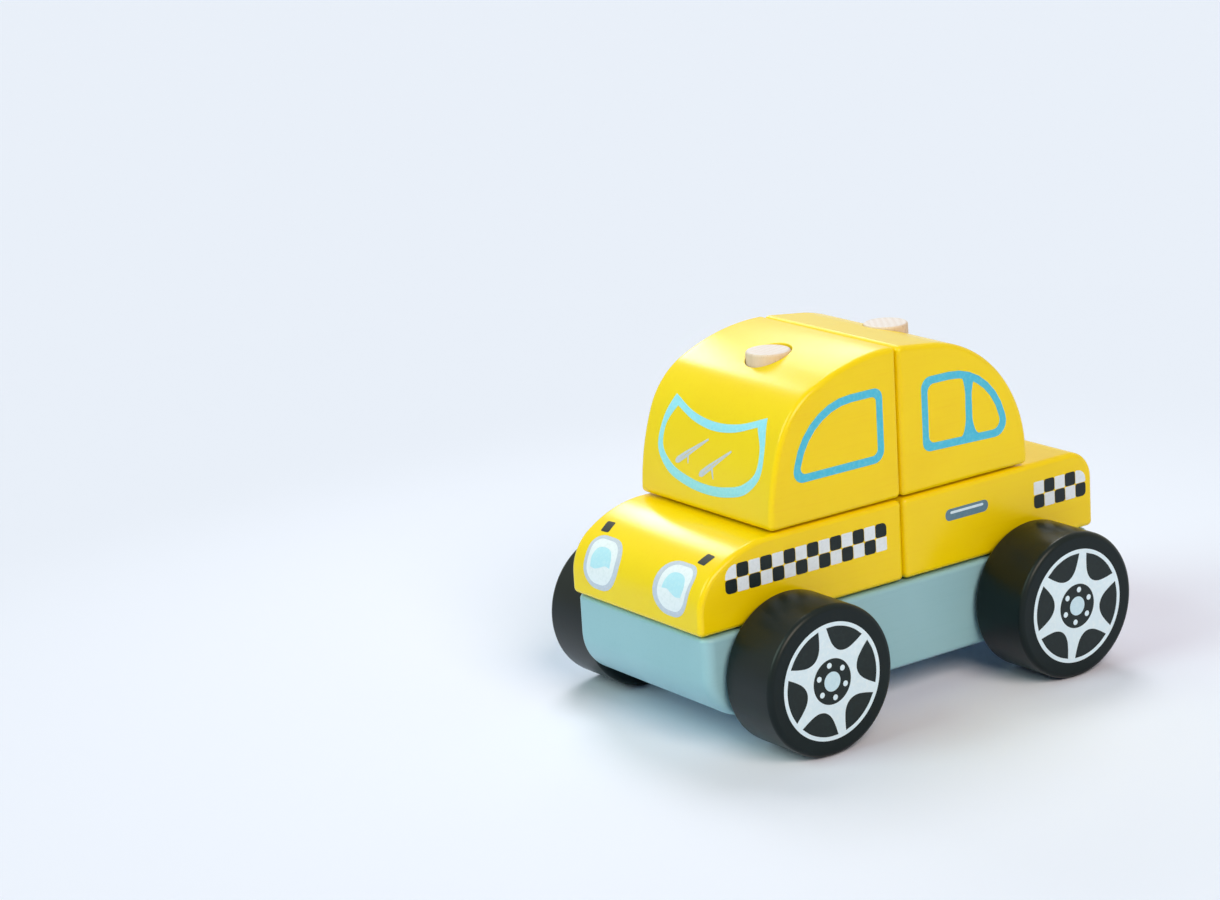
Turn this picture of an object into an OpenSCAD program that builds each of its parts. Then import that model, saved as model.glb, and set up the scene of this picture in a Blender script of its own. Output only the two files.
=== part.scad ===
// Stacking toy taxi in painted wood. Four body blocks lift off two pegs, and the
// chassis below them rolls on four wheels. The front faces -Y, the left side faces +X,
// and the wheels stand on z = 0.

/* [Chassis] */
// Length of the chassis
chassis_l = 132.5; // [116:0.5:150]
// Width of the chassis
chassis_w = 57; // [50:0.5:66]
// Height of the chassis
chassis_h = 23; // [20:0.5:30]
// Radius of the lower front and rear edges
chassis_nose_r = 12.5; // [4:0.5:16]
// Radius of the upright edges
chassis_edge_r = 3; // [1:0.25:6]
// Height of the axles above the underside
axle_rise = 11; // [8:0.5:14]
// Wood left under the pegs
peg_floor_t = 9; // [4:0.5:12]

/* [Wheels] */
// Diameter of a wheel
wheel_d = 40; // [34:0.5:48]
// Thickness of a wheel
wheel_t = 18.5; // [13:0.5:24]
// Radius of a wheel's round edges
wheel_edge_r = 1.5; // [0.5:0.1:3]
// Wood left between the end of the axle and the wheel's outer face
wheel_face_t = 6.5; // [3:0.5:8]
// Gap between a wheel and the widest block beside it
wheel_gap = 1; // [0.5:0.1:3]
// Distance between the axles
wheelbase = 84; // [76:1:96]
// Diameter of an axle
axle_d = 8; // [6:0.5:10]
// Running clearance all round an axle in the chassis
axle_clearance = 0.1; // [0.05:0.05:0.3]

/* [Pegs] */
// Diameter of a peg
peg_d = 12; // [9:0.5:15]
// Distance between the pegs
peg_spacing = 40; // [34:1:50]
// Depth of the peg tops below the crest of the roof
peg_drop = 1.4; // [0:0.1:3]
// Chamfer on the top of a peg
peg_chamfer = 0.6; // [0.2:0.1:1.5]
// Clearance all round a peg in the blocks
peg_clearance = 0.4; // [0.3:0.05:0.8]
// Glue line round a peg in the chassis and round an axle in a wheel
glue_line = 0.05; // [0.02:0.01:0.1]

/* [Lower blocks] */
// Length over the bonnet and boot blocks
body_l = 135; // [120:0.5:150]
// Width of all four body blocks
body_w = 56; // [48:0.5:64]
// Height of the bonnet and boot blocks
body_h = 22.5; // [20:0.5:30]
// Radius of the bonnet's nose
nose_r = 13; // [8:0.5:15]
// Angle that the nose turns through before the flatter brow
nose_turn = 55; // [40:1:70]
// Radius of the bonnet's brow
brow_r = 32; // [18:0.5:40]
// Radius of the boot's upper rear edge
boot_r = 8; // [3:0.5:12]

/* [Cabin blocks] */
// Length of the front cabin block, from the seam
cabin_front_l = 43.6; // [40:0.1:56]
// Length of the rear cabin block, from the seam
cabin_rear_l = 44.2; // [42:0.1:56]
// Height of the cabin blocks
cabin_h = 41; // [37:0.5:46]
// Lean of the windscreen at its top
screen_lean = 21; // [16:1:26]
// Radius of the corner between the windscreen and the roof
roof_corner_r = 22; // [14:0.5:26]
// Slope of the roof where it leaves that corner
roof_rise = 26; // [18:1:30]
// Radius of the roof's crown in front of the seam
roof_r = 58; // [46:1:66]
// Upright stretch at the foot of the rear window
rear_sill = 3.9; // [0:0.1:8]
// Fall of the roof towards the rear
roof_fall = 6.7; // [2:0.1:10]

/* [Edges and seams] */
// Gap between the front and rear stacks
seam_gap = 0.4; // [0.2:0.05:1]
// Radius of the edges along both sides of a body block
block_edge_r = 1.5; // [0.5:0.25:4]
// Radius of a body block's edges across its width
block_corner_r = 1.3; // [0.5:0.1:3]

/* [Hidden] */
$fn = 64;
hull_fn = 32;
arc_steps = 8;
edge_step = 30;
through = 1;

yellow = "#F2D01F";
blue_grey = "#9FB9C2";
black = "#22302F";
beech = "#E6D2BE";

// Heights from the floor up
wheel_r = wheel_d / 2;
chassis_z = wheel_r - axle_rise;
body_z = chassis_z + chassis_h;
cabin_z = body_z + body_h;
roof_z = cabin_z + cabin_h;

// Wheels stand clear of whichever is wider, the chassis or the body blocks
wheel_x = max(chassis_w, body_w) / 2 + wheel_gap;
axle_seat = wheel_t - wheel_face_t;
axle_l = 2 * (wheel_x + axle_seat);
axle_y = wheelbase / 2;

// Pegs stand on the floors of their sockets
peg_y = peg_spacing / 2;
peg_z = chassis_z + peg_floor_t;
peg_l = roof_z - peg_drop - peg_z;
block_bore_d = peg_d + 2 * peg_clearance;

// The front face of the bonnet takes the height that its curves leave
nose_z = body_h - nose_r * sin(nose_turn) - brow_r * (1 - sin(nose_turn));
// The windscreen is bowed to the radius that the curves of the roof leave it
screen_r = (cabin_h - roof_corner_r * (cos(roof_rise) - sin(screen_lean)) - roof_r * (1 - cos(roof_rise)))
  / sin(screen_lean);
// The rear window's radius carries it from its sill to the falling roof
rear_window_r = (cabin_h - rear_sill - cabin_rear_l * tan(roof_fall))
  / (cos(roof_fall) - (1 - sin(roof_fall)) * tan(roof_fall));

function polar(r, angle) = r * [cos(angle), sin(angle)];
function arc(centre, r, from, to) =
  [for (i = [0:arc_steps]) centre + polar(r, from + (to - from) * i / arc_steps)];

// Side outlines of the body blocks: Y along the toy, then height above the block's base
function hood_outline() =
  let (
    nose = [-body_l / 2 + nose_r, nose_z],
    brow = nose + polar(nose_r - brow_r, 180 - nose_turn)
  )
  concat(
    [[-seam_gap / 2, 0], [-body_l / 2, 0]],
    arc(nose, nose_r, 180, 180 - nose_turn),
    arc(brow, brow_r, 180 - nose_turn, 90),
    [[-seam_gap / 2, body_h]]
  );

function trunk_outline() =
  concat(
    [[seam_gap / 2, body_h], [seam_gap / 2, 0], [body_l / 2, 0]],
    arc([body_l / 2 - boot_r, body_h - boot_r], boot_r, 0, 90)
  );

function front_cabin_outline() =
  let (
    screen = [-cabin_front_l + screen_r, 0],
    corner = screen + polar(screen_r - roof_corner_r, 180 - screen_lean),
    roof = corner + polar(roof_corner_r - roof_r, 90 + roof_rise)
  )
  concat(
    [[-seam_gap / 2, 0]],
    arc(screen, screen_r, 180, 180 - screen_lean),
    arc(corner, roof_corner_r, 180 - screen_lean, 90 + roof_rise),
    arc(roof, roof_r, 90 + roof_rise, 90),
    [[-seam_gap / 2, cabin_h]]
  );

function rear_cabin_outline() =
  concat(
    [[seam_gap / 2, cabin_h], [seam_gap / 2, 0], [cabin_rear_l, 0]],
    arc([cabin_rear_l - rear_window_r, rear_sill], rear_window_r, 0, 90 - roof_fall)
  );

// Stands a side outline up in the YZ plane and gives it a width, half to each side
module across(width) {
  rotate([90, 0, 90]) linear_extrude(width, center = true) children();
}

// A side outline drawn in by an inset, with its corners rounded
module drawn_in(outline, inset) {
  offset(r = block_corner_r, $fn = hull_fn)
    offset(delta = -inset - block_corner_r)
      polygon(outline);
}

// A body block with rounded edges and an upright hole for a peg
module body_block(outline, z, height, bore_y) {
  translate([0, 0, z]) difference() {
    hull()
      for (angle = [0:edge_step:90])
        across(body_w - 2 * block_edge_r * (1 - sin(angle)))
          drawn_in(outline, block_edge_r * (1 - cos(angle)));
    translate([0, bore_y, -through]) cylinder(d = block_bore_d, h = height + 2 * through);
  }
}

module hood_block() {
  color(yellow) body_block(hood_outline(), body_z, body_h, -peg_y);
}

module trunk_block() {
  color(yellow) body_block(trunk_outline(), body_z, body_h, peg_y);
}

module front_cabin_block() {
  color(yellow) body_block(front_cabin_outline(), cabin_z, cabin_h, -peg_y);
}

module rear_cabin_block() {
  color(yellow) body_block(rear_cabin_outline(), cabin_z, cabin_h, peg_y);
}

// Plan of the chassis, with its upright edges rounded
module chassis_plan() {
  inner_w = chassis_w - 2 * chassis_edge_r;
  inner_l = chassis_l - 2 * chassis_edge_r;
  square([inner_w, chassis_l], center = true);
  square([chassis_w, inner_l], center = true);
  for (x = [-1, 1], y = [-1, 1])
    translate([x * inner_w / 2, y * inner_l / 2]) circle(r = chassis_edge_r);
}

// Side of the chassis, with its lower front and rear edges rounded
module chassis_side() {
  flat_l = chassis_l - 2 * chassis_nose_r;
  translate([-flat_l / 2, 0]) square([flat_l, chassis_h]);
  translate([-chassis_l / 2, chassis_nose_r]) square([chassis_l, chassis_h - chassis_nose_r]);
  for (end = [-1, 1])
    translate([end * flat_l / 2, chassis_nose_r]) circle(r = chassis_nose_r);
}

module chassis() {
  color(blue_grey) translate([0, 0, chassis_z]) difference() {
    intersection() {
      linear_extrude(chassis_h) chassis_plan();
      across(chassis_w) chassis_side();
    }
    for (end = [-1, 1]) {
      translate([0, end * peg_y, peg_floor_t])
        cylinder(d = peg_d + 2 * glue_line, h = chassis_h - peg_floor_t + through);
      translate([0, end * axle_y, axle_rise])
        rotate([0, 90, 0])
          cylinder(d = axle_d + 2 * axle_clearance, h = chassis_w + 2 * through, center = true);
    }
  }
}

module peg(y) {
  color(beech) translate([0, y, peg_z]) rotate_extrude() polygon([
    [0, 0],
    [peg_d / 2, 0],
    [peg_d / 2, peg_l - peg_chamfer],
    [peg_d / 2 - peg_chamfer, peg_l],
    [0, peg_l]
  ]);
}

module front_peg() {
  peg(-peg_y);
}

module rear_peg() {
  peg(peg_y);
}

module axle(y) {
  color(beech) translate([0, y, wheel_r])
    rotate([0, 90, 0])
      cylinder(d = axle_d, h = axle_l, center = true);
}

module front_axle() {
  axle(-axle_y);
}

module rear_axle() {
  axle(axle_y);
}

// Half section of a wheel: radius, then thickness from the inner face
module wheel_section() {
  flat_r = wheel_r - wheel_edge_r;
  flat_t = wheel_t - 2 * wheel_edge_r;
  square([flat_r, wheel_t]);
  translate([0, wheel_edge_r]) square([wheel_r, flat_t]);
  for (t = [wheel_edge_r, wheel_edge_r + flat_t])
    translate([flat_r, t]) circle(r = wheel_edge_r);
}

// A wheel on the left side, or its mirror image on the right, with a blind seat for the axle
module wheel(y, right) {
  color(black) mirror([right ? 1 : 0, 0, 0]) translate([wheel_x, y, wheel_r])
    rotate([0, 90, 0]) difference() {
      rotate_extrude() wheel_section();
      translate([0, 0, -through]) cylinder(d = axle_d + 2 * glue_line, h = axle_seat + through);
    }
}

module front_left_wheel() {
  wheel(-axle_y, false);
}

module front_right_wheel() {
  wheel(-axle_y, true);
}

module rear_left_wheel() {
  wheel(axle_y, false);
}

module rear_right_wheel() {
  wheel(axle_y, true);
}

chassis();
front_peg();
rear_peg();
hood_block();
trunk_block();
front_cabin_block();
rear_cabin_block();
front_axle();
rear_axle();
front_left_wheel();
front_right_wheel();
rear_left_wheel();
rear_right_wheel();
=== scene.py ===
import math

import bmesh
import bpy
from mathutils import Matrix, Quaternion, Vector


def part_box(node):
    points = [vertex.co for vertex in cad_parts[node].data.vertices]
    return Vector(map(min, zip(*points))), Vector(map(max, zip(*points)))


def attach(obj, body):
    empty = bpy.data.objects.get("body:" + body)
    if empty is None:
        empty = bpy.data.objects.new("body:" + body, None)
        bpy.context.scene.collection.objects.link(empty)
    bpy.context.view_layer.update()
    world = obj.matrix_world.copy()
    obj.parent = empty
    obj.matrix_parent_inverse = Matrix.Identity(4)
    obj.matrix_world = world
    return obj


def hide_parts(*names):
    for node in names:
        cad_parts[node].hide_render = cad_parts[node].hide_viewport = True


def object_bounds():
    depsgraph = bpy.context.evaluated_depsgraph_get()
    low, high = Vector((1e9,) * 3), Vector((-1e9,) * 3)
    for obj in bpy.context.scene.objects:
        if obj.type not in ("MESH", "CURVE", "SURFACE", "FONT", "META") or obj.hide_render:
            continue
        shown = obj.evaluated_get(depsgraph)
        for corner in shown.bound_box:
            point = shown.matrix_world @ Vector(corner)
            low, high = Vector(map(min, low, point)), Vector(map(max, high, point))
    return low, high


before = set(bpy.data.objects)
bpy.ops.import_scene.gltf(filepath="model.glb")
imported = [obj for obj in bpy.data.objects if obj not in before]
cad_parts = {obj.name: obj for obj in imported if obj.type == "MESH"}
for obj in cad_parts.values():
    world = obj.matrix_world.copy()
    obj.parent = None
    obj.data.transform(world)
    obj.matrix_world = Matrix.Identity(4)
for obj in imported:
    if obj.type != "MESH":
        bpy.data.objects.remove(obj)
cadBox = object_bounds()
mm = 0.001


# Node and colour helpers
def linear(hexColour):  # sRGB hex to linear colour with alpha
    channels = [int(hexColour[i:i + 2], 16) / 255 for i in (1, 3, 5)]
    return [c / 12.92 if c <= 0.04045 else ((c + 0.055) / 1.055) ** 2.4 for c in channels] + [1.0]


def wire(tree, node, inputs):  # sockets are linked, anything else is set as the value
    for key, value in inputs.items():
        if isinstance(value, bpy.types.NodeSocket):
            tree.links.new(value, node.inputs[key])
        else:
            node.inputs[key].default_value = value
    return node


def addNode(tree, kind, inputs, **settings):
    node = tree.nodes.new(kind)
    for name, value in settings.items():
        setattr(node, name, value)
    return wire(tree, node, inputs)


def newMaterial(name):
    material = bpy.data.materials.new(name)
    material.use_nodes = True
    return material, material.node_tree, material.node_tree.nodes["Principled BSDF"]


# Materials
yellowPaint = {
    "colour": "#F6D600",
    "deep": "#F0C600",
    "roughness": (0.2, 0.26),
    "specular": 0.32,
    "grainMm": (0.8, 22.0, 0.8),  # grain runs along the car
    "grainDepthMm": 0.05,
    "cloudMm": 24.0,
    "peelMm": 1.1,
    "peelDepthMm": 0.012,
}
blueGreyPaint = dict(yellowPaint, colour="#95C0CB", deep="#88B5C0", roughness=(0.28, 0.36))
blackPaint = dict(
    yellowPaint,
    colour="#081618",
    deep="#061113",
    roughness=(0.3, 0.38),
    specular=0.22,
    grainMm=(12.0, 0.8, 0.8),  # side grain shows as short lines round the tread
    grainDepthMm=0.012,
)


def satinEnamel(name, paint):
    # Satin alkyd enamel sprayed over sanded beech. The eye sees one even colour with a soft
    # sheen, hair lines of grain under it and a faint orange peel from the spray.
    material, tree, shader = newMaterial(name)
    place = addNode(tree, "ShaderNodeTexCoord", {}).outputs["Object"]
    grainScale = [1 / (size * mm) for size in paint["grainMm"]]
    grainPlace = addNode(tree, "ShaderNodeMapping", {"Vector": place, "Scale": grainScale})
    grain = addNode(tree, "ShaderNodeTexNoise", {
        "Vector": grainPlace.outputs[0], "Scale": 1.0, "Detail": 3.0, "Roughness": 0.6})
    cloud = addNode(tree, "ShaderNodeTexNoise", {
        "Vector": place, "Scale": 1 / (paint["cloudMm"] * mm), "Detail": 2.0})
    peel = addNode(tree, "ShaderNodeTexNoise", {
        "Vector": place, "Scale": 1 / (paint["peelMm"] * mm), "Detail": 1.0})
    lines = addNode(tree, "ShaderNodeMapRange", {
        "Value": grain.outputs["Fac"], "From Min": 0.52, "From Max": 0.78, "To Max": 0.3})
    drift = addNode(tree, "ShaderNodeMapRange", {
        "Value": cloud.outputs["Fac"], "From Min": 0.35, "From Max": 0.7, "To Max": 0.3})
    depth = addNode(tree, "ShaderNodeMath", {
        0: lines.outputs[0], 1: drift.outputs[0]}, operation="ADD")
    colour = addNode(tree, "ShaderNodeMix", {
        0: depth.outputs[0], 6: linear(paint["colour"]), 7: linear(paint["deep"])}, data_type="RGBA")
    sheen = addNode(tree, "ShaderNodeMapRange", {
        "Value": cloud.outputs["Fac"], "From Min": 0.3, "From Max": 0.7,
        "To Min": paint["roughness"][0], "To Max": paint["roughness"][1]})
    ridges = addNode(tree, "ShaderNodeBump", {
        "Height": grain.outputs["Fac"], "Distance": paint["grainDepthMm"] * mm, "Strength": 0.35})
    dimples = addNode(tree, "ShaderNodeBump", {
        "Height": peel.outputs["Fac"], "Distance": paint["peelDepthMm"] * mm,
        "Strength": 0.6, "Normal": ridges.outputs[0]})
    wire(tree, shader, {
        "Base Color": colour.outputs[2], "Roughness": sheen.outputs[0],
        "Normal": dimples.outputs[0], "Specular IOR Level": paint["specular"]})
    return material


beechDowel = {
    "colour": "#E9D6C3",
    "grain": "#D9BFA6",
    "fleck": "#B78F6C",
    "end": "#E6DCDC",
    "ring": "#DED1CE",
    "roughness": 0.55,
    "grainMm": (0.9, 16.0),  # across and along the grain
    "fleckMm": (0.7, 3.0),  # beech's short dark dashes
    "ringMm": 1.7,
    "poreMm": 0.45,  # drawn about five times too coarse, so that it shows
    "pithMm": (31.0, 27.0, 23.0),  # the dowel is cut well off the middle of the tree
    "fibreDepthMm": 0.06,
}
wavePeriod = 0.314  # a wave texture at scale 1 repeats every tenth of pi


def sandedBeech(name, wood, axis):
    # Bare beech dowel, turned and sanded. The eye sees pale pink-tan wood with short dark
    # flecks along it, and close rings with fine pores on its ends.
    material, tree, shader = newMaterial(name)
    coordinates = addNode(tree, "ShaderNodeTexCoord", {})
    place = coordinates.outputs["Object"]

    def along(sizes):  # scale that stretches a pattern along the dowel
        return [1 / ((sizes[1] if k == axis else sizes[0]) * mm) for k in range(3)]

    grainPlace = addNode(tree, "ShaderNodeMapping", {"Vector": place, "Scale": along(wood["grainMm"])})
    grain = addNode(tree, "ShaderNodeTexNoise", {
        "Vector": grainPlace.outputs[0], "Scale": 1.0, "Detail": 4.0, "Roughness": 0.6})
    fleckPlace = addNode(tree, "ShaderNodeMapping", {"Vector": place, "Scale": along(wood["fleckMm"])})
    fleck = addNode(tree, "ShaderNodeTexVoronoi", {"Vector": fleckPlace.outputs[0], "Scale": 1.0})
    dash = addNode(tree, "ShaderNodeMapRange", {
        "Value": fleck.outputs["Distance"], "From Min": 0.24, "From Max": 0.08, "To Max": 0.55})
    offCentre = addNode(tree, "ShaderNodeMapping", {
        "Vector": place, "Location": [size * mm for size in wood["pithMm"]]})
    ring = addNode(tree, "ShaderNodeTexWave", {
        "Vector": offCentre.outputs[0], "Scale": wavePeriod / (wood["ringMm"] * mm),
        "Distortion": 1.2, "Detail": 2.0, "Detail Scale": 1.5},
        wave_type="RINGS", rings_direction="XYZ"[axis])
    pore = addNode(tree, "ShaderNodeTexVoronoi", {"Vector": place, "Scale": 1 / (wood["poreMm"] * mm)})
    pit = addNode(tree, "ShaderNodeMapRange", {
        "Value": pore.outputs["Distance"], "From Min": 0.3, "From Max": 0.12, "To Max": 0.35})
    side = addNode(tree, "ShaderNodeMix", {
        0: grain.outputs["Fac"], 6: linear(wood["colour"]), 7: linear(wood["grain"])}, data_type="RGBA")
    sideFlecked = addNode(tree, "ShaderNodeMix", {
        0: dash.outputs[0], 6: side.outputs[2], 7: linear(wood["fleck"])}, data_type="RGBA")
    end = addNode(tree, "ShaderNodeMix", {
        0: ring.outputs["Fac"], 6: linear(wood["end"]), 7: linear(wood["ring"])}, data_type="RGBA")
    endPitted = addNode(tree, "ShaderNodeMix", {
        0: pit.outputs[0], 6: end.outputs[2], 7: linear(wood["fleck"])}, data_type="RGBA")
    facing = addNode(tree, "ShaderNodeSeparateXYZ", {"Vector": coordinates.outputs["Normal"]})
    square = addNode(tree, "ShaderNodeMath", {
        0: facing.outputs[axis], 1: facing.outputs[axis]}, operation="MULTIPLY")
    isEnd = addNode(tree, "ShaderNodeMapRange", {
        "Value": square.outputs[0], "From Min": 0.55, "From Max": 0.8})
    colour = addNode(tree, "ShaderNodeMix", {
        0: isEnd.outputs[0], 6: sideFlecked.outputs[2], 7: endPitted.outputs[2]}, data_type="RGBA")
    fibres = addNode(tree, "ShaderNodeBump", {
        "Height": grain.outputs["Fac"], "Distance": wood["fibreDepthMm"] * mm, "Strength": 0.5})
    wire(tree, shader, {
        "Base Color": colour.outputs[2], "Roughness": wood["roughness"],
        "Normal": fibres.outputs[0], "IOR": 1.45})
    return material


inkCoat = {"mottleMm": 0.9, "roughness": (0.36, 0.48), "specular": 0.3}
inkColours = {
    "sky": ("#49BCDD", "#63C7E0"),
    "ice": ("#93DFF2", "#A9E6F4"),
    "lilac": ("#C0C9DA", "#CDD3DF"),
    "white": ("#EAF0F8", "#E0E8F0"),
    "chalk": ("#E4EEF6", "#DAE6EE"),
    "pale": ("#B4E2F3", "#C3E8F5"),
    "black": ("#0D1A1C", "#142224"),
    "silver": ("#D6EAF5", "#E0EFF7"),
    "frost": ("#C2DFED", "#CDE5F0"),
    "slate": ("#5C7F93", "#6B8CA0"),
}


def screenInk(name, dense, thin):
    # Screen-printed ink over the enamel. The eye sees a flat dense colour, a little chalkier
    # than the paint, with faint thin spots from the pull of the squeegee.
    material, tree, shader = newMaterial(name)
    place = addNode(tree, "ShaderNodeTexCoord", {}).outputs["Object"]
    mottle = addNode(tree, "ShaderNodeTexNoise", {
        "Vector": place, "Scale": 1 / (inkCoat["mottleMm"] * mm), "Detail": 3.0})
    spots = addNode(tree, "ShaderNodeMapRange", {
        "Value": mottle.outputs["Fac"], "From Min": 0.45, "From Max": 0.75})
    colour = addNode(tree, "ShaderNodeMix", {
        0: spots.outputs[0], 6: linear(dense), 7: linear(thin)}, data_type="RGBA")
    grip = addNode(tree, "ShaderNodeMapRange", {
        "Value": mottle.outputs["Fac"],
        "To Min": inkCoat["roughness"][0], "To Max": inkCoat["roughness"][1]})
    wire(tree, shader, {
        "Base Color": colour.outputs[2], "Roughness": grip.outputs[0],
        "Specular IOR Level": inkCoat["specular"]})
    return material


yellow = satinEnamel("yellowSatinEnamelOnBeech", yellowPaint)
blueGrey = satinEnamel("blueGreySatinEnamelOnBeech", blueGreyPaint)
black = satinEnamel("blackSatinEnamelOnBeech", blackPaint)
pegBeech = sandedBeech("sandedBeechUpright", beechDowel, 2)
axleBeech = sandedBeech("sandedBeechAcross", beechDowel, 0)
ink = {key: screenInk(key + "ScreenInk", *pair) for key, pair in inkColours.items()}
print("materials:", len(bpy.data.materials))


# Mesh helpers, all in millimetres in the frame's own axes
def polar(radius, degrees):
    return Vector((math.cos(math.radians(degrees)), math.sin(math.radians(degrees)))) * radius


def boxMm(node):
    low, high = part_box(node)
    return low / mm, high / mm


def stack(rings):  # closed solid from rings of equal counts, with a flat cap at each end
    count = len(rings[0])
    points = [point for ring in rings for point in ring]
    faces = [tuple(range(count)), tuple(range(len(points) - count, len(points)))]
    for k in range(len(rings) - 1):
        for i in range(count):
            j = (i + 1) % count
            faces.append((k * count + i, k * count + j, (k + 1) * count + j, (k + 1) * count + i))
    return points, faces


def newSolid(name, points, faces):
    mesh = bpy.data.meshes.new(name)
    mesh.from_pydata([Vector(point) * mm for point in points], [], faces)
    shape = bmesh.new()
    shape.from_mesh(mesh)
    bmesh.ops.recalc_face_normals(shape, faces=shape.faces)
    shape.to_mesh(mesh)
    shape.free()
    solid = bpy.data.objects.new(name, mesh)
    bpy.context.scene.collection.objects.link(solid)
    return solid


def cutAway(solid, cutters):  # takes each cutter out of the solid and leaves a plain mesh
    for cutter in cutters:
        cut = solid.modifiers.new("cut", "BOOLEAN")
        cut.operation = "DIFFERENCE"
        cut.solver = "EXACT"
        cut.object = cutter
    bpy.context.view_layer.update()
    whole = solid.evaluated_get(bpy.context.evaluated_depsgraph_get())
    solid.data = bpy.data.meshes.new_from_object(whole)
    solid.data.name = solid.name
    solid.modifiers.clear()
    for cutter in cutters:
        bpy.data.objects.remove(cutter)


sharpDegrees = 38  # steeper folds than this stay sharp


def dress(piece, material, body, nodes=()):
    piece.data.materials.clear()
    piece.data.materials.append(material)
    piece.data.shade_smooth()
    piece.data.set_sharp_from_angle(angle=math.radians(sharpDegrees))
    weighted = piece.modifiers.new("normals", "WEIGHTED_NORMAL")
    weighted.keep_sharp = True
    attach(piece, body)
    if nodes:
        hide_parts(*nodes)
    return piece


# Body blocks: side outlines of arcs, swept across the car with rounded edges
blockShape = {
    "edgeRadius": 1.5,  # along both sides
    "cornerRadius": 1.5,  # across the width; no less than the edge radius
    "edgeSteps": 7,
    "arcStepMm": 0.7,
    "arcStepDegrees": 9,
    "innerRings": (22.0, 14.0, 7.6),  # cuts across the width that keep the bore in its own strip
    "boreRadius": 6.2,
    "boreLip": 0.3,
    "boreSides": 72,
    "footGap": 0.6,  # the underside is relieved round its rim, which leaves a dark joint line
    "footWidth": 4.0,
    "footStep": 0.05,  # run of the steep wall round the foot
}
hoodShape = {"noseRadius": 13.0, "noseTurn": 55.0, "browRadius": 32.0}
trunkShape = {"bootRadius": 8.0}
frontCabinShape = {"length": 43.6, "lean": 21.0, "cornerRadius": 22.0, "rise": 26.0, "roofRadius": 58.0}
rearCabinShape = {"length": 44.2, "sill": 3.9, "fall": 6.7}


def sine(degrees):
    return math.sin(math.radians(degrees))


def cosine(degrees):
    return math.cos(math.radians(degrees))


def hoodFront(low, high):  # nose and brow, as (centre, radius, from, to) in the YZ plane
    nose, brow, turned = hoodShape["noseRadius"], hoodShape["browRadius"], 180 - hoodShape["noseTurn"]
    noseZ = high.z - nose * sine(turned) - brow * (1 - sine(turned))
    noseCentre = Vector((low.y + nose, noseZ))
    browCentre = noseCentre + polar(nose - brow, turned)
    return [(noseCentre, nose, 180, turned), (browCentre, brow, turned, 90)]


def hoodOutline(low, high):
    r = blockShape["cornerRadius"]
    footZ = low.z + blockShape["footGap"] + r
    return [
        (Vector((low.y + r, footZ)), r, 270, 180),
        *hoodFront(low, high),
        (Vector((high.y - r, high.z - r)), r, 90, 0),
        (Vector((high.y - r, footZ)), r, 0, -90),
    ]


def trunkOutline(low, high):
    r, boot = blockShape["cornerRadius"], trunkShape["bootRadius"]
    footZ = low.z + blockShape["footGap"] + r
    return [
        (Vector((low.y + r, footZ)), r, 270, 180),
        (Vector((low.y + r, high.z - r)), r, 180, 90),
        (Vector((high.y - boot, high.z - boot)), boot, 90, 0),
        (Vector((high.y - r, footZ)), r, 0, -90),
    ]


def cabinFront(low, high):  # windscreen, roof corner and crown
    lean, rise = frontCabinShape["lean"], frontCabinShape["rise"]
    corner, crown = frontCabinShape["cornerRadius"], frontCabinShape["roofRadius"]
    height = high.z - low.z
    bow = (height - corner * (cosine(rise) - sine(lean)) - crown * (1 - cosine(rise))) / sine(lean)
    screenCentre = Vector((bow - frontCabinShape["length"], low.z))
    cornerCentre = screenCentre + polar(bow - corner, 180 - lean)
    crownCentre = cornerCentre + polar(corner - crown, 90 + rise)
    return [
        (screenCentre, bow, 180, 180 - lean),
        (cornerCentre, corner, 180 - lean, 90 + rise),
        (crownCentre, crown, 90 + rise, 90),
    ]


def frontCabinOutline(low, high):
    r = blockShape["cornerRadius"]
    (centre, bow, _, leaned), *roof = cabinFront(low, high)
    footRise = blockShape["footGap"] + r
    foot = Vector((centre.x - math.sqrt((bow - r) ** 2 - footRise ** 2), low.z + footRise))
    met = 180 - math.degrees(math.asin(footRise / (bow - r)))  # where the foot's round meets the screen
    return [
        (foot, r, 270, met),
        (centre, bow, met, leaned),
        *roof,
        (Vector((high.y - r, high.z - r)), r, 90, 0),
        (Vector((high.y - r, foot.y)), r, 0, -90),
    ]


def rearCabinOutline(low, high):
    r, fall, sill = blockShape["cornerRadius"], rearCabinShape["fall"], rearCabinShape["sill"]
    slope, tail = math.tan(math.radians(fall)), rearCabinShape["length"]
    crestZ, footZ = boxMm("front_cabin_block")[1].z, low.z + blockShape["footGap"] + r
    window = (crestZ - low.z - sill - tail * slope) / (cosine(fall) - (1 - sine(fall)) * slope)
    crest = Vector((low.y + r, crestZ - (low.y + r) * slope - r / cosine(fall)))
    return [
        (Vector((low.y + r, footZ)), r, 270, 180),
        (crest, r, 180, 90 - fall),
        (Vector((tail - window, low.z + sill)), window, 90 - fall, 0),
        (Vector((tail - r, footZ)), r, 0, -90),
    ]


def trace(arcs, inset=0.0):  # points round an outline, drawn in by an inset
    points, lastEnd = [], None
    for centre, radius, start, end in arcs:
        turn = abs(end - start)
        steps = math.ceil(max(math.radians(turn) * radius / blockShape["arcStepMm"],
                              turn / blockShape["arcStepDegrees"]))
        begin = centre + polar(radius, start)
        joined = lastEnd is not None and (begin - lastEnd).length < 1e-6
        for i in range(1 if joined else 0, steps + 1):
            points.append(centre + polar(radius - inset, start + (end - start) * i / steps))
        lastEnd = centre + polar(radius, end)
    return points


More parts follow.
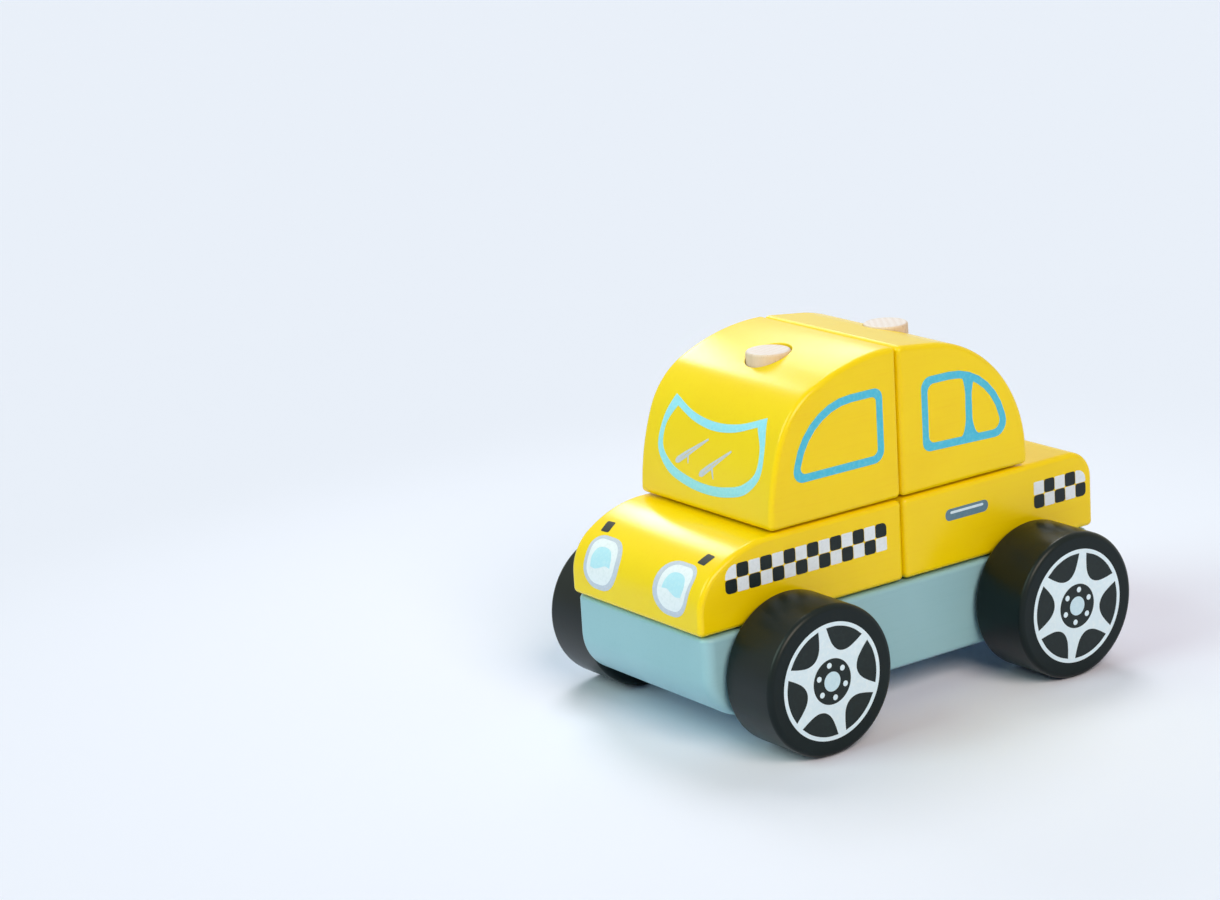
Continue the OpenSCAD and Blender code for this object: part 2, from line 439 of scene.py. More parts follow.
def topAt(outline, y):  # height of the outline's upper side
    heights = []
    for a, b in zip(outline, outline[1:] + outline[:1]):
        if min(a.x, b.x) <= y <= max(a.x, b.x) and a.x != b.x:
            heights.append(a.y + (b.y - a.y) * (y - a.x) / (b.x - a.x))
    return max(heights)


def boreCutter(outline, boreY, baseZ):
    # The lip's rim stands a hair off the skin, so that the cut crosses it cleanly
    radius, lip, spare, hair = blockShape["boreRadius"], blockShape["boreLip"], 3.0, 0.03
    angles = [360 * i / blockShape["boreSides"] for i in range(blockShape["boreSides"])]

    def ring(r, height):  # height is a function of y
        spots = [polar(r, angle) for angle in angles]
        return [(p.x, boreY + p.y, height(boreY + p.y)) for p in spots]

    rings = [ring(radius + lip, lambda y: baseZ - spare)]
    for angle in (0, 30, 60, 90):  # round lip at the base
        deep = lip * (1 - cosine(angle)) - hair
        rings.append(ring(radius + lip * (1 - sine(angle)), lambda y, d=deep: baseZ + d))
    for angle in (90, 60, 30, 0):  # round lip that follows the top
        deep = lip * (1 - cosine(angle)) - hair
        rings.append(ring(radius + lip * (1 - sine(angle)), lambda y, d=deep: topAt(outline, y) - d))
    rings.append(ring(radius + lip, lambda y: topAt(outline, y) + spare))
    return newSolid("boreCutter", *stack(rings))


def footedRing(arcs, x, inset, low, high):  # one ring of a block, with its underside relieved at the rim
    width, step = blockShape["footWidth"], blockShape["footStep"]
    front, rear, rim = low.y + width, high.y - width, low.z + blockShape["footGap"] + inset
    pad = low.z if abs(x) < high.x - width else rim
    ring = [(x, p.x, p.y) for p in trace(arcs, inset)]
    return ring + [(x, rear, rim), (x, rear - step, pad), (x, front + step, pad), (x, front, rim)]


def bodyBlock(name, node, body, arcs, boreY):
    low, high = boxMm(node)
    edge, steps, half = blockShape["edgeRadius"], blockShape["edgeSteps"], high.x
    foot = half - blockShape["footWidth"]
    angles = [90 * i / steps for i in range(steps, -1, -1)]
    spots = [(half - edge * (1 - sine(angle)), edge * (1 - cosine(angle))) for angle in angles]
    spots += [(x, 0.0) for x in (foot, foot - blockShape["footStep"], *blockShape["innerRings"])]
    spots += [(-x, inset) for x, inset in reversed(spots)]
    block = newSolid(name, *stack([footedRing(arcs, x, inset, low, high) for x, inset in spots]))
    cutAway(block, [boreCutter(trace(arcs), boreY, low.z)])
    return dress(block, yellow, body, [node])


pegY = {end: (boxMm(end + "_peg")[0].y + boxMm(end + "_peg")[1].y) / 2 for end in ("front", "rear")}
hoodArcs = hoodOutline(*boxMm("hood_block"))
trunkArcs = trunkOutline(*boxMm("trunk_block"))
frontCabinArcs = frontCabinOutline(*boxMm("front_cabin_block"))
rearCabinArcs = rearCabinOutline(*boxMm("rear_cabin_block"))
bodyBlock("hoodBlock", "hood_block", "hood", hoodArcs, pegY["front"])
bodyBlock("trunkBlock", "trunk_block", "trunk", trunkArcs, pegY["rear"])
bodyBlock("frontCabinBlock", "front_cabin_block", "front_cabin", frontCabinArcs, pegY["front"])
bodyBlock("rearCabinBlock", "rear_cabin_block", "rear_cabin", rearCabinArcs, pegY["rear"])
print("body blocks done")


# Turned pieces: pegs, axles and wheels
def turned(name, section, axis, centre, sides):  # section is (radius, place along the axis)
    others = [k for k in range(3) if k != axis]
    rings = []
    for radius, place in section:
        ring = []
        for i in range(sides):
            spot = polar(radius, 360 * i / sides)
            point = [0.0, 0.0, 0.0]
            point[axis] = place
            point[others[0]] = centre[others[0]] + spot.x
            point[others[1]] = centre[others[1]] + spot.y
            ring.append(point)
        rings.append(ring)
    return newSolid(name, *stack(rings))


def roundedEnd(radius, place, edge, direction, steps=5):  # quarter round, out to in
    spots = [90 * i / steps for i in range(steps + 1)]
    return [(radius - edge * (1 - cosine(a)), place - direction * edge * (1 - sine(a))) for a in spots]


dowelShape = {"sides": 72, "pegEdge": 0.7, "axleEdge": 0.4}
wheelShape = {
    "sides": 128,
    "edge": 1.5,
    "seatRadius": 4.05,
    "seatDepth": 12.0,
    "seatLip": 0.4,
    "hubRadius": 3.0,
}


def dowel(name, node, body, axis, edge, material):
    low, high = boxMm(node)
    centre = (low + high) / 2
    radius = (high - low)[(axis + 1) % 3] / 2
    section = roundedEnd(radius, low[axis], edge, -1)[::-1] + roundedEnd(radius, high[axis], edge, 1)
    piece = turned(name, section, axis, centre, dowelShape["sides"])
    return dress(piece, material, body, [node])


def wheel(name, node, body):
    low, high = boxMm(node)
    centre, side = (low + high) / 2, (1 if low.x > 0 else -1)
    inner, outer = sorted((low.x, high.x), key=abs)
    radius, edge, lip = (high.z - low.z) / 2, wheelShape["edge"], wheelShape["seatLip"]
    seat, depth = wheelShape["seatRadius"], wheelShape["seatDepth"]
    section = [
        (seat, inner + side * depth),
        (seat, inner + side * lip),
        (seat + lip, inner),
        *roundedEnd(radius, inner, edge, -side)[::-1],
        *roundedEnd(radius, outer, edge, side),
        (wheelShape["hubRadius"], outer),
    ]
    piece = turned(name, section, 0, centre, wheelShape["sides"])
    return dress(piece, black, body, [node])


for end in ("front", "rear"):
    dowel(end + "PegDowel", end + "_peg", "chassis", 2, dowelShape["pegEdge"], pegBeech)
    dowel(end + "AxleDowel", end + "_axle", end + "_wheels", 0, dowelShape["axleEdge"], axleBeech)
    for hand in ("left", "right"):
        wheel(end + hand.title() + "WheelDisc", end + "_" + hand + "_wheel", end + "_wheels")
print("pegs, axles and wheels done")


# Chassis: plan loops stacked from the rounded nose up
chassisShape = {
    "noseRadius": 12.5,
    "uprightRadius": 3.0,
    "edge": 1.3,
    "noseSteps": 18,
    "edgeSteps": 5,
    "cornerSteps": 7,
    "axleHoleRadius": 4.1,
    "pegHoleRadius": 6.05,
    "pegFloor": 9.0,
    "holeSides": 64,
}


def planLoop(halfWidth, halfLength, radius, z):
    loop, steps = [], chassisShape["cornerSteps"]
    for sx, sy, start in ((1, 1, 0), (-1, 1, 90), (-1, -1, 180), (1, -1, 270)):
        corner = Vector((sx * (halfWidth - radius), sy * (halfLength - radius)))
        for i in range(steps + 1):
            spot = corner + polar(radius, start + 90 * i / steps)
            loop.append((spot.x, spot.y, z))
    return loop


def chassisBlock():
    low, high = boxMm("chassis")
    width, length, nose, edge = high.x, high.y, chassisShape["noseRadius"], chassisShape["edge"]
    upright = chassisShape["uprightRadius"]
    loops = []
    for i in range(chassisShape["noseSteps"] + 1):  # lower front and rear edges
        angle = 90 * i / chassisShape["noseSteps"]
        rise = nose * (1 - cosine(angle))
        tuck = edge - math.sqrt(edge ** 2 - max(edge - rise, 0) ** 2)  # long lower edges
        loops.append(planLoop(width - tuck, length - nose * (1 - sine(angle)), upright, low.z + rise))
    for i in range(chassisShape["edgeSteps"] + 1):  # upper edges
        angle = 90 * i / chassisShape["edgeSteps"]
        tuck, z = edge * (1 - cosine(angle)), high.z - edge * (1 - sine(angle))
        loops.append(planLoop(width - tuck, length - tuck, upright - tuck, z))
    block = newSolid("chassisBlock", *stack(loops))
    cutters, sides = [], chassisShape["holeSides"]
    for end in ("front", "rear"):
        axleLow, axleHigh = boxMm(end + "_axle")
        hole = [(chassisShape["axleHoleRadius"], axleLow.x), (chassisShape["axleHoleRadius"], axleHigh.x)]
        cutters.append(turned("axleCutter", hole, 0, (axleLow + axleHigh) / 2, sides))
        pegLow, pegHigh = boxMm(end + "_peg")
        socket = [(chassisShape["pegHoleRadius"], low.z + chassisShape["pegFloor"]),
                  (chassisShape["pegHoleRadius"], pegHigh.z)]
        cutters.append(turned("pegCutter", socket, 2, (pegLow + pegHigh) / 2, sides))
    cutAway(block, cutters)
    return dress(block, blueGrey, "chassis", ["chassis"])


chassisBlock()
print("chassis done")


# Prints: thin ink films laid on the skin, built from loops in the skin's own flat coordinates
inkLift = {"under": 0.03, "over": 0.055, "top": 0.08, "sunk": -0.03}
leastRadius = 0.25  # no corner of a print is sharper


def roundedLoop(corners, inset=0.0, arcSteps=7, edgeSteps=1):
    # Corners are (u, v, radius), counter-clockwise. The inset draws the whole loop in.
    count, lines, arcs = len(corners), [], []
    for i in range(count):
        here, after = Vector(corners[i][:2]), Vector(corners[(i + 1) % count][:2])
        run = (after - here).normalized()
        lines.append((here + Vector((-run.y, run.x)) * inset, run))
    for i in range(count):
        (p, a), (q, b) = lines[i - 1], lines[i]
        turn = math.atan2(a.x * b.y - a.y * b.x, a.dot(b))
        gap = q - p
        corner = p + a * ((gap.x * b.y - gap.y * b.x) / (a.x * b.y - a.y * b.x))
        radius = max(corners[i][2] - inset, leastRadius)
        centre = corner - a * radius * math.tan(turn / 2) + Vector((-a.y, a.x)) * radius
        start = math.degrees(math.atan2(-a.x, a.y))
        arcs.append([centre + polar(radius, start + math.degrees(turn) * k / arcSteps)
                     for k in range(arcSteps + 1)])
    loop = []
    for i in range(count):
        loop += arcs[i]
        last, first = arcs[i][-1], arcs[(i + 1) % count][0]
        loop += [last.lerp(first, k / edgeSteps) for k in range(1, edgeSteps)]
    return loop


def smoothLoop(spots, corners=(), steps=6):
    # Closed curve through the spots, with its direction broken at the numbered corners
    points = [Vector(spot) for spot in spots]
    count, loop = len(points), []

    def heading(i, leaving):
        back, ahead = points[i] - points[i - 1], points[(i + 1) % count] - points[i]
        if i in corners:
            return ahead.normalized() if leaving else back.normalized()
        return (back.normalized() * ahead.length + ahead.normalized() * back.length) / \
            (back.length + ahead.length)

    for i in range(count):
        j = (i + 1) % count
        a, b, reach = points[i], points[j], (points[j] - points[i]).length
        leave, arrive = heading(i, True) * reach, heading(j, False) * reach
        for k in range(steps):
            t = k / steps
            loop.append(a * (2 * t ** 3 - 3 * t ** 2 + 1) + leave * (t ** 3 - 2 * t ** 2 + t)
                        + b * (3 * t ** 2 - 2 * t ** 3) + arrive * (t ** 3 - t ** 2))
    return loop


def filled(loop, shares=(1.0, 0.7, 0.4)):  # loops that shrink to the middle, for a solid shape
    middle = sum(loop, Vector((0, 0))) / len(loop)
    return {"loops": [[middle + (p - middle) * share for p in loop] for share in shares], "open": False}


ribbonCore = {"across": 0.42, "along": 0.97}  # how far the inner loop is drawn in


def ribbon(left, right):  # band between two lines that run the same way
    spots, steps = list(left) + list(right)[::-1], 5
    last = len(left) - 1
    loop = smoothLoop(spots, (0, last, last + 1, len(spots) - 1), steps)
    middle = sum(loop, Vector((0, 0))) / len(loop)
    facing = [loop[(len(spots) - 1) * steps - i] for i in range(len(loop))]
    core = [p.lerp(q, ribbonCore["across"]) for p, q in zip(loop, facing)]
    return {"loops": [loop, [middle + (p - middle) * ribbonCore["along"] for p in core]], "open": False}


def ringed(outer, inner):
    return {"loops": [outer, [p.lerp(q, 0.5) for p, q in zip(outer, inner)], inner], "open": True}


def mirrored(shape):
    loops = [[Vector((-p.x, p.y)) for p in loop] for loop in shape["loops"]]
    return {"loops": loops, "open": shape["open"]}


def inkFilm(name, shapes, place, layer, inkName, body):
    # place(u, v, lift) gives the point on the skin
    points, faces = [], []
    for shape in shapes:
        loops, count, first = shape["loops"], len(shape["loops"][0]), len(points)
        for lift in (inkLift[layer], inkLift["sunk"]):
            points += [place(p.x, p.y, lift) for loop in loops for p in loop]
        under = first + len(loops) * count
        for i in range(count):
            j = (i + 1) % count
            for base in (first, under):
                for k in range(len(loops) - 1):
                    a, b = base + k * count, base + (k + 1) * count
                    faces.append((a + i, a + j, b + j, b + i))
            walls = (0, len(loops) - 1) if shape["open"] else (0,)
            for k in walls:
                a, b = first + k * count, under + k * count
                faces.append((a + i, a + j, b + j, b + i))
        if not shape["open"]:
            inner = (len(loops) - 1) * count
            faces += [tuple(range(base + inner, base + inner + count)) for base in (first, under)]
    return dress(newSolid(name, points, faces), ink[inkName], body)


def onSide(arcs, side):  # flat side of a block, rolling over its rounded edge
    outline, edge = trace(arcs), blockShape["edgeRadius"]
    half = boxMm("hood_block")[1].x

    def place(y, z, lift):
        spot, depth = Vector((y, z)), edge
        for a, b in zip(outline, outline[1:] + outline[:1]):
            run = b - a
            share = min(max((spot - a).dot(run) / run.length_squared, 0), 1)
            depth = min(depth, (spot - a - run * share).length)
        return (side * (half - edge + math.sqrt(edge ** 2 - (edge - depth) ** 2) + lift), y, z)

    return place


def onFront(front):  # front skin of a block: x across, then the length up along its arcs
    def place(x, along, lift):
        left = along
        for centre, radius, start, end in front:
            reach = math.radians(start - end) * radius
            if left < 0 or left <= reach:
                break
            left -= reach
        if left < 0:  # below the first arc the skin is upright
            return (x, centre.x - radius - lift, centre.y + left)
        spot = centre + polar(radius + lift, start - math.degrees(left / radius))
        return (x, spot.x, spot.y)

    return place


def onWheel(node):  # outer face of a wheel
    low, high = boxMm(node)
    centre, face = (low + high) / 2, max((low.x, high.x), key=abs)
    side = 1 if face > 0 else -1
    return lambda u, v, lift: (face + side * lift, centre.y + u, centre.z + v)


sides = {"Left": 1, "Right": -1}

# Windscreen: half outlines as (x, length up the screen), from the top middle to the bottom middle
windscreen = {
    "outer": [(0, 24.6), (10.0, 25.8), (19.2, 29.2), (21.6, 21.4),
              (21.5, 13.8), (17.0, 9.0), (9.0, 6.4), (0, 5.6)],
    "inner": [(0, 22.3), (8.8, 23.4), (16.9, 26.2), (19.9, 20.6),
              (19.6, 14.8), (15.6, 11.2), (8.2, 8.9), (0, 8.1)],
    "topCorner": 2,
    "offCentre": 0.9,
    "streaks": [
        {"from": (-12.0, 12.2), "to": (-0.3, 19.8), "width": (1.7, 0.5)},
        {"from": (-1.6, 10.4), "to": (9.7, 18.4), "width": (1.7, 0.5)},
        {"from": (-7.8, 14.6), "to": (-7.4, 12.2), "width": (0.6, 0.3)},
        {"from": (2.6, 13.2), "to": (3.6, 10.0), "width": (0.7, 0.3)},
    ],
}


def wholeLoop(half, corner):  # mirrors a half outline and closes it
    spots = half + [(-x, v) for x, v in half[-2:0:-1]]
    return smoothLoop([(x + windscreen["offCentre"], v) for x, v in spots], (corner, len(spots) - corner))


def stroke(mark):  # tapered brush stroke with a round foot
    start, end = Vector(mark["from"]), Vector(mark["to"])
    run = (end - start).normalized()
    wide, narrow = mark["width"]
    square = Vector((-run.y, run.x)) / 2
    spine = [(start - run * wide * 0.5, wide * 0.3), (start, wide * 0.9), (start + run * wide, wide),
             (start.lerp(end, 0.6), (wide + narrow) / 2), (end, narrow)]
    return ribbon([p - square * width for p, width in spine], [p + square * width for p, width in spine])


screenPlace = onFront(cabinFront(*boxMm("front_cabin_block")))
screenLoops = [wholeLoop(windscreen[key], windscreen["topCorner"]) for key in ("outer", "inner")]
inkFilm("windscreenLine", [ringed(*screenLoops)], screenPlace, "over", "ice", "front_cabin")
inkFilm("windscreenStreaks", [stroke(mark) for mark in windscreen["streaks"]], screenPlace,
        "over", "lilac", "front_cabin")

# Side windows: corners as (y, z, radius) on the left side
sideWindows = {
    "line": 2.1,
    "front": [(-36.3, 66.1, 3.0), (-5.5, 66.1, 3.4), (-5.5, 86.0, 2.8), (-31.4, 86.0, 19.5)],
    "frontInner": (1.6, 1.8, 1.5, 18.0),  # radii of the inner line's corners
    "rear": [(7.7, 65.6, 2.6), (38.0, 64.6, 4.0), (32.5, 85.4, 20.0), (7.7, 85.6, 3.2)],
    "rearInner": (2.0, 2.4, 17.5, 2.2),
    "divider": (  # front and rear edges of the bar, from the top down
        [(19.8, 84.8), (21.8, 83.0), (22.6, 80.2), (22.7, 75.0),
         (22.5, 70.2), (21.6, 67.7), (19.6, 66.2)],
        [(28.2, 82.2), (26.0, 81.7), (25.2, 79.4), (25.0, 75.0),
         (25.2, 70.4), (26.2, 67.8), (28.6, 65.9)],
    ),
}
for hand, side in sides.items():
    for end, arcs in (("front", frontCabinArcs), ("rear", rearCabinArcs)):
        line = sideWindows["line"]
        inner = [(y, z, r + line) for (y, z, _), r in zip(sideWindows[end], sideWindows[end + "Inner"])]
        window = ringed(roundedLoop(sideWindows[end], edgeSteps=6), roundedLoop(inner, line, edgeSteps=6))
        inkFilm(end + hand + "WindowLine", [window], onSide(arcs, side), "over", "sky", end + "_cabin")
    inkFilm("rear" + hand + "WindowDivider", [ribbon(*sideWindows["divider"])],
            onSide(rearCabinArcs, side), "under", "sky", "rear_cabin")

# Headlights and signal marks: (x, length up from the foot of the nose), near side, mirrored to the other
headlight = {
    "rim": [(22.3, -2.0, 5.6), (22.9, 12.8, 4.2), (8.2, 12.8, 6.8), (7.2, -2.0, 6.8)],
    "glass": [(21.0, -0.6, 4.3), (21.7, 11.7, 3.1), (10.1, 11.7, 5.2), (9.1, -0.6, 5.3)],
    "glassOverlap": 0.2,  # how far the glass runs under its rim
    "tint": [(11.4, 4.5), (13.4, 4.7), (15.6, 3.9), (17.8, 3.3), (19.6, 3.5), (19.9, 6.4), (18.8, 8.7),
             (16.2, 9.5), (13.2, 8.8), (11.8, 6.8)],
    "tintCorners": (0, 4),
    "signal": [(19.2, 13.7, 0.5), (22.4, 13.5, 0.5), (23.2, 17.2, 0.5), (20.0, 17.4, 0.5)],
}
nosePlace = onFront(hoodFront(*boxMm("hood_block")))
rim = [roundedLoop(headlight[key], edgeSteps=6) for key in ("rim", "glass")]
lampShapes = {
    "Rim": (ringed(*rim), "over", "lilac"),
    "Glass": (filled(roundedLoop(headlight["glass"], -headlight["glassOverlap"], edgeSteps=6),
                     (1.0, 0.85, 0.7, 0.55, 0.4, 0.25, 0.1)), "under", "white"),
    "Tint": (filled(smoothLoop(headlight["tint"], headlight["tintCorners"]),
                    (1.0, 0.8, 0.6, 0.4, 0.2)), "over", "pale"),
    "Signal": (filled(roundedLoop(headlight["signal"], edgeSteps=4), (1.0, 0.6, 0.3)), "over", "black"),
}
for hand, side in sides.items():
    for kind, (shape, layer, inkName) in lampShapes.items():
        inkFilm("headlight" + kind + hand, [shape if side > 0 else mirrored(shape)], nosePlace,
                layer, inkName, "hood")

# Checker bands: squares in two rows, with the outer corners of each band rounded off
checkers = {
    "square": 3.8,
    "darkSize": 3.74,
    "lightSize": 3.62,
    "darkRadius": 0.75,
    "lightRadius": 0.3,
    "bands": {
        "front": {"body": "hood", "arcs": hoodArcs, "columns": 14, "start": (-59.0, 42.2),
                  "rounded": {(0, 0): (0, 1.4), (0, 1): (3, 3.3), (13, 1): (2, 1.5)}},
        "rear": {"body": "trunk", "arcs": trunkArcs, "columns": 5, "start": (45.9, 41.8),
                 "rounded": {(0, 0): (0, 1.2), (4, 0): (1, 1.3), (4, 1): (2, 2.9)}},
    },
}


def checkerSquare(column, row, band, dark):
    # Corners run from the lower left, counter-clockwise; the band may round one of them off
    pitch = checkers["square"]
    size = checkers["darkSize" if dark else "lightSize"] / 2
    radii = [checkers["darkRadius" if dark else "lightRadius"]] * 4
    if (column, row) in band["rounded"]:
        corner, radius = band["rounded"][column, row]
        radii[corner] = radius
    y, z = band["start"][0] + (column + 0.5) * pitch, band["start"][1] + (row + 0.5) * pitch
    signs = ((-1, -1), (1, -1), (1, 1), (-1, 1))
    return filled(roundedLoop([(y + sy * size, z + sz * size, r) for (sy, sz), r in zip(signs, radii)],
                              arcSteps=5, edgeSteps=3), (1.0, 0.5))


for end, band in checkers["bands"].items():
    for hand, side in sides.items():
        place = onSide(band["arcs"], side)
        for shade, inkName in (("Dark", "black"), ("Light", "chalk")):
            squares = [checkerSquare(column, row, band, shade == "Dark")
                       for column in range(band["columns"]) for row in (0, 1)
                       if ((column + row) % 2 == 0) == (shade == "Dark")]
            inkFilm(end + hand + "Checker" + shade, squares, place, "over", inkName, band["body"])

# Door handles on the boot block's sides
doorHandle = {
    "bar": [(14.5, 45.2, 1.5), (29.5, 45.2, 1.5), (29.5, 48.4, 1.5), (14.5, 48.4, 1.5)],
    "shine": [(16.2, 47.0, 0.35), (27.8, 47.0, 0.35), (27.8, 47.7, 0.35), (16.2, 47.7, 0.35)],
}
for hand, side in sides.items():
    place = onSide(trunkArcs, side)
    inkFilm("doorHandle" + hand, [filled(roundedLoop(doorHandle["bar"]), (1.0, 0.5))], place,
            "under", "slate", "trunk")
    inkFilm("doorHandleShine" + hand, [filled(roundedLoop(doorHandle["shine"]), (1.0, 0.5))], place,
            "over", "silver", "trunk")

# Wheel rims: shares of the print's radius, with angles measured from the middle of a gap
rimPrint = {
    "radius": 15.5,
    "gap": [(0.93, -24.9), (0.93, -12.5), (0.93, 0), (0.93, 12.5), (0.93, 24.9), (0.74, 21.4),
            (0.62, 16.4), (0.553, 9.0), (0.53, 0), (0.553, -9.0), (0.62, -16.4), (0.74, -21.4)],
    "gapCorners": (0, 4),
    "spokes": 6,
    "hub": 0.39,
    "cap": 0.167,
    "bolt": 0.049,
    "boltCircle": 0.287,
    "discSteps": 120,
    "hubSteps": 64,
    "boltSteps": 20,
    "turn": {"frontLeft": -10, "rearLeft": 10, "frontRight": 20, "rearRight": -16},
}


def disc(centre, radius, count=48, shares=(1.0, 0.5)):
    return filled([centre + polar(radius, 360 * i / count) for i in range(count)], shares)


def rimFilms(end, hand):
    radius, spokes, body = rimPrint["radius"], rimPrint["spokes"], end + "_wheels"
    place = onWheel(end + "_" + hand.lower() + "_wheel")
    # Angles in the face run from +Y, so a spoke that leans off the vertical starts at 90 less its lean
    lead = 90 - rimPrint["turn"][end + hand]
    spokeAngles = [lead + 360 * k / spokes for k in range(spokes)]
    middle = Vector((0, 0))
    gaps = [filled(smoothLoop([polar(share * radius, angle + 180 / spokes + lean)
                               for share, lean in rimPrint["gap"]], rimPrint["gapCorners"]), (1.0, 0.5))
            for angle in spokeAngles]
    boltCircle, boltRadius = rimPrint["boltCircle"] * radius, rimPrint["bolt"] * radius
    bolts = [disc(polar(boltCircle, angle), boltRadius, rimPrint["boltSteps"]) for angle in spokeAngles]
    face = disc(middle, radius, rimPrint["discSteps"])
    hub = disc(middle, rimPrint["hub"] * radius, rimPrint["hubSteps"])
    cap = disc(middle, rimPrint["cap"] * radius)
    inkFilm(end + hand + "RimSilver", [face], place, "under", "silver", body)
    inkFilm(end + hand + "RimGaps", gaps + [hub], place, "over", "black", body)
    inkFilm(end + hand + "RimBolts", bolts, place, "top", "silver", body)
    inkFilm(end + hand + "RimCap", [cap], place, "top", "frost", body)


for end in ("front", "rear"):
    for hand in sides:
        rimFilms(end, hand)
print("prints done")


# Floor, light and camera
floorFinish = {
    "colour": "#ECEEFF",
    "sizeM": 30.0,
    "mottleMm": 180.0,
    "roughness": (0.85, 0.95),
    "specular": 0.1,
}


def paleFloor():
    # Matt coated paper roll, pulled out flat. The eye sees an even cool white with no gloss.
    material, tree, shader = newMaterial("mattPaperRoll")
    place = addNode(tree, "ShaderNodeTexCoord", {}).outputs["Object"]
    mottle = addNode(tree, "ShaderNodeTexNoise", {
        "Vector": place, "Scale": 1 / (floorFinish["mottleMm"] * mm), "Detail": 2.0})
    matt = addNode(tree, "ShaderNodeMapRange", {
        "Value": mottle.outputs["Fac"],
        "To Min": floorFinish["roughness"][0], "To Max": floorFinish["roughness"][1]})
    wire(tree, shader, {
        "Base Color": linear(floorFinish["colour"]), "Roughness": matt.outputs[0],
        "Specular IOR Level": floorFinish["specular"]})
    half = floorFinish["sizeM"] / 2
    corners = [(-half, -half, 0), (half, -half, 0), (half, half, 0), (-half, half, 0)]
    mesh = bpy.data.meshes.new("paperFloor")
    mesh.from_pydata(corners, [], [(0, 1, 2, 3)])
    floor = bpy.data.objects.new("paperFloor", mesh)
    floor.data.materials.append(material)
    bpy.context.scene.collection.objects.link(floor)


paleFloor()

studio = {
    "air": {"colour": "#C8DEFF", "strength": 0.18},
    "mirroredAir": {"colour": "#FFFBEA", "strength": 0.85},
    "backdrop": {"colour": "#EAF0F9", "strength": 1.0},  # seen past the far edge of the floor
    "lamps": {  # direction that the light comes from, spread of the source in degrees
        "frontLamp": {"from": (-0.20, -0.76, 0.62), "strength": 1.48, "spread": 36, "colour": "#E0FFEE"},
        "backLamp": {"from": (-0.50, 0.30, 0.81), "strength": 0.9, "spread": 24, "colour": "#FFFEFA"},
        "sideLamp": {"from": (0.76, -0.16, 0.63), "strength": 2.05, "spread": 34, "colour": "#FFF0DC"},
    },
    "softboxes": {  # panels behind the far side, seen as pale glare on the roof and the bonnet
        "roofPanel": {"atMm": (-321, 193, 300), "sizeMm": (190, 44), "watts": 0.022},
        "bonnetPanel": {"atMm": (-368, 77, 317), "sizeMm": (150, 50), "watts": 0.055},
    },
    "panelAimMm": (0, -35, 75),
    "panelRoll": 44,
    "panelSpread": 80,  # grids on the panels keep their light off the far floor
}


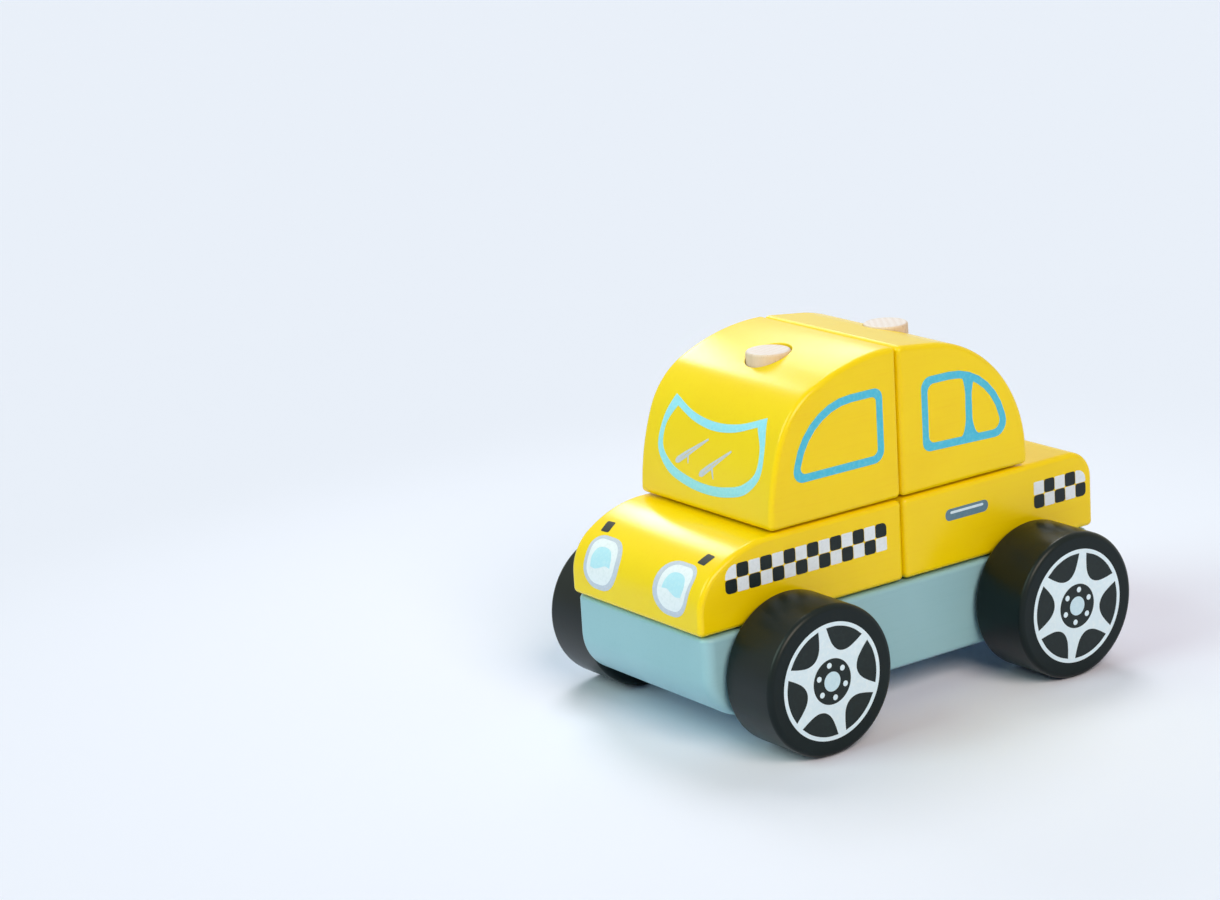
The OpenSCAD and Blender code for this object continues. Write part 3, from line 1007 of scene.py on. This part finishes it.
def studioLight():
    air, mirroredAir, backdrop = studio["air"], studio["mirroredAir"], studio["backdrop"]
    world = bpy.data.worlds.new("studioAir")
    bpy.context.scene.world = world
    world.use_nodes = True
    tree = world.node_tree
    tree.nodes.clear()
    rays = addNode(tree, "ShaderNodeLightPath", {})
    tint = addNode(tree, "ShaderNodeMix", {
        0: rays.outputs["Is Glossy Ray"], 6: linear(air["colour"]), 7: linear(mirroredAir["colour"])},
        data_type="RGBA")
    lit = addNode(tree, "ShaderNodeMix", {
        0: rays.outputs["Is Glossy Ray"], 2: air["strength"], 3: mirroredAir["strength"]},
        data_type="FLOAT")
    seenTint = addNode(tree, "ShaderNodeMix", {
        0: rays.outputs["Is Camera Ray"], 6: tint.outputs[2], 7: linear(backdrop["colour"])},
        data_type="RGBA")
    seen = addNode(tree, "ShaderNodeMix", {
        0: rays.outputs["Is Camera Ray"], 2: lit.outputs[0], 3: backdrop["strength"]},
        data_type="FLOAT")
    back = addNode(tree, "ShaderNodeBackground", {
        "Color": seenTint.outputs[2], "Strength": seen.outputs[0]})
    addNode(tree, "ShaderNodeOutputWorld", {"Surface": back.outputs[0]})
    for name, lamp in studio["lamps"].items():
        data = bpy.data.lights.new(name, "SUN")
        data.energy = lamp["strength"]
        data.angle = math.radians(lamp["spread"])
        data.color = linear(lamp["colour"])[:3]
        sun = bpy.data.objects.new(name, data)
        sun.rotation_mode = "QUATERNION"
        sun.rotation_quaternion = (-Vector(lamp["from"])).to_track_quat("-Z", "Y")
        bpy.context.scene.collection.objects.link(sun)
    for name, box in studio["softboxes"].items():
        data = bpy.data.lights.new(name, "AREA")
        data.shape = "RECTANGLE"
        data.size, data.size_y = box["sizeMm"][0] * mm, box["sizeMm"][1] * mm
        data.energy = box["watts"]
        data.spread = math.radians(studio["panelSpread"])
        panel = bpy.data.objects.new(name, data)
        panel.location = Vector(box["atMm"]) * mm
        aim = (Vector(studio["panelAimMm"]) - Vector(box["atMm"])).to_track_quat("-Z", "Y")
        panel.rotation_mode = "QUATERNION"
        panel.rotation_quaternion = aim @ Quaternion((0, 0, 1), math.radians(studio["panelRoll"]))
        bpy.context.scene.collection.objects.link(panel)


studioLight()

cameraView = {
    "azimuth": 51.2,
    "elevation": 16.3,
    "roll": -2.5,  # the picture leans a little
    "distanceMm": 888,
    "lensMm": 97.7,
    "sensorMm": 36.0,
    "clipM": (0.01, 100),
    "imageSize": (1220, 900),
    "toyCentrePixel": (835, 504),
}


def addCamera():
    view = cameraView
    azimuth, elevation = view["azimuth"], view["elevation"]
    level = cosine(elevation)
    back = Vector((sine(azimuth) * level, -cosine(azimuth) * level, sine(elevation)))
    data = bpy.data.cameras.new("photoCamera")
    data.lens, data.sensor_width = view["lensMm"], view["sensorMm"]
    data.clip_start, data.clip_end = view["clipM"]
    camera = bpy.data.objects.new("photoCamera", data)
    bpy.context.scene.collection.objects.link(camera)
    camera.location = (cadBox[0] + cadBox[1]) / 2 + back * view["distanceMm"] * mm
    # Turn the camera aside until the middle of the toy lands on its pixel
    focal = view["lensMm"] / view["sensorMm"] * view["imageSize"][0]
    across = (view["toyCentrePixel"][0] - view["imageSize"][0] / 2) / focal
    down = (view["toyCentrePixel"][1] - view["imageSize"][1] / 2) / focal
    aside = Vector((across, -down, -1)).rotation_difference(Vector((0, 0, -1)))
    roll = Quaternion((0, 0, 1), math.radians(view["roll"]))
    camera.rotation_mode = "QUATERNION"
    camera.rotation_quaternion = (-back).to_track_quat("-Z", "Y") @ roll @ aside
    bpy.context.scene.camera = camera


addCamera()
bpy.context.scene.view_settings.view_transform = "Standard"
print("floor, light and camera done")
